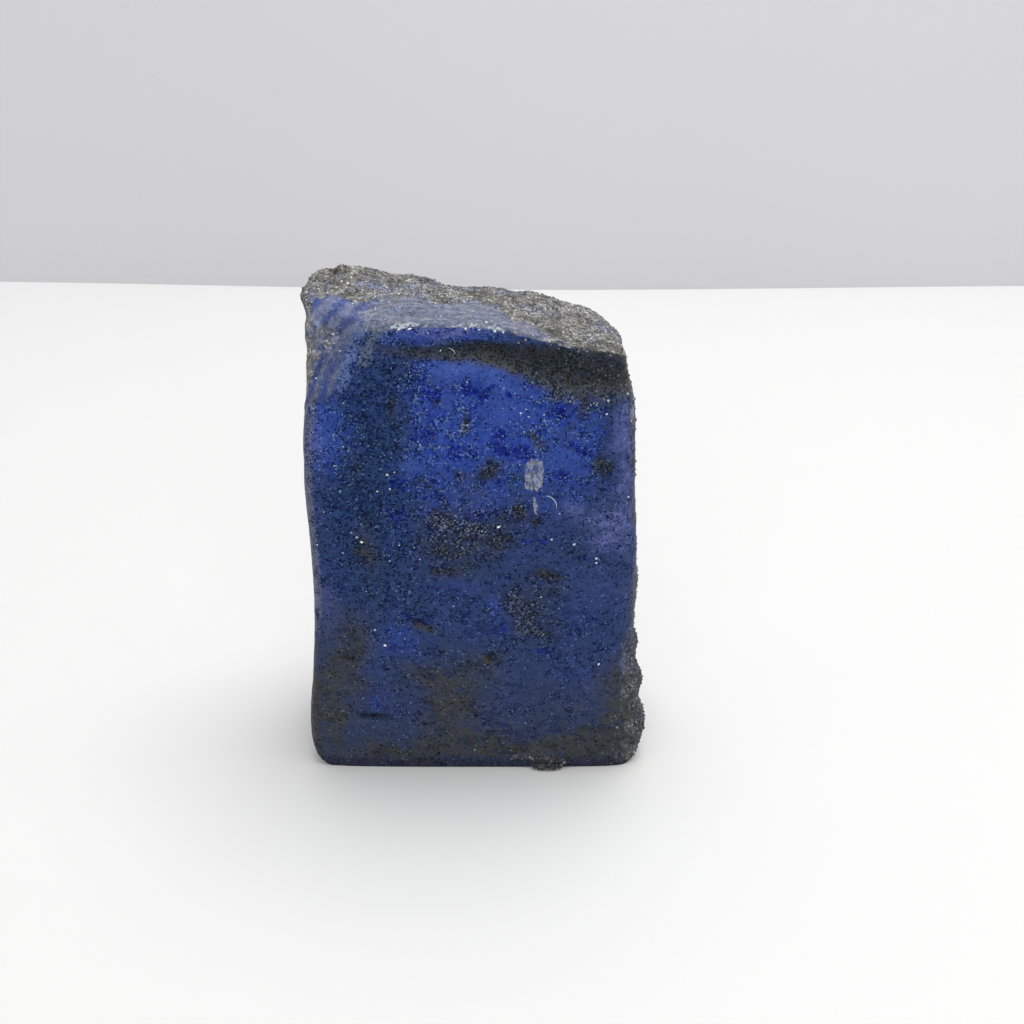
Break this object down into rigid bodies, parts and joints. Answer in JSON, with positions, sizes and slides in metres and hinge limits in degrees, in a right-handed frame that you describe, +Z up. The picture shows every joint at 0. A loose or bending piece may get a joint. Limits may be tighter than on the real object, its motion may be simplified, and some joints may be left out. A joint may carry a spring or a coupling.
{
  "type": "rough sapphire",
  "caption": "Tall block of rough blue sapphire: smooth waxy front under a rounded lip, granular grey crust on top, a broken back, and a flat foot it stands on.",
  "frame": {"origin": "centre of the bounding box at the level of the flat foot", "axes": "+X to the right of the smooth front face as seen from the front, +Y to the broken back, +Z up to the crusted top"},
  "size_m": [0.0445, 0.0315, 0.0642],
  "materials": {
    "corundum": "waxy, frosted blue face with a granular grey crust on top"
  },
  "bodies": {
    "root": {"sapphire": "corundum"}
  },
  "joints": []
}
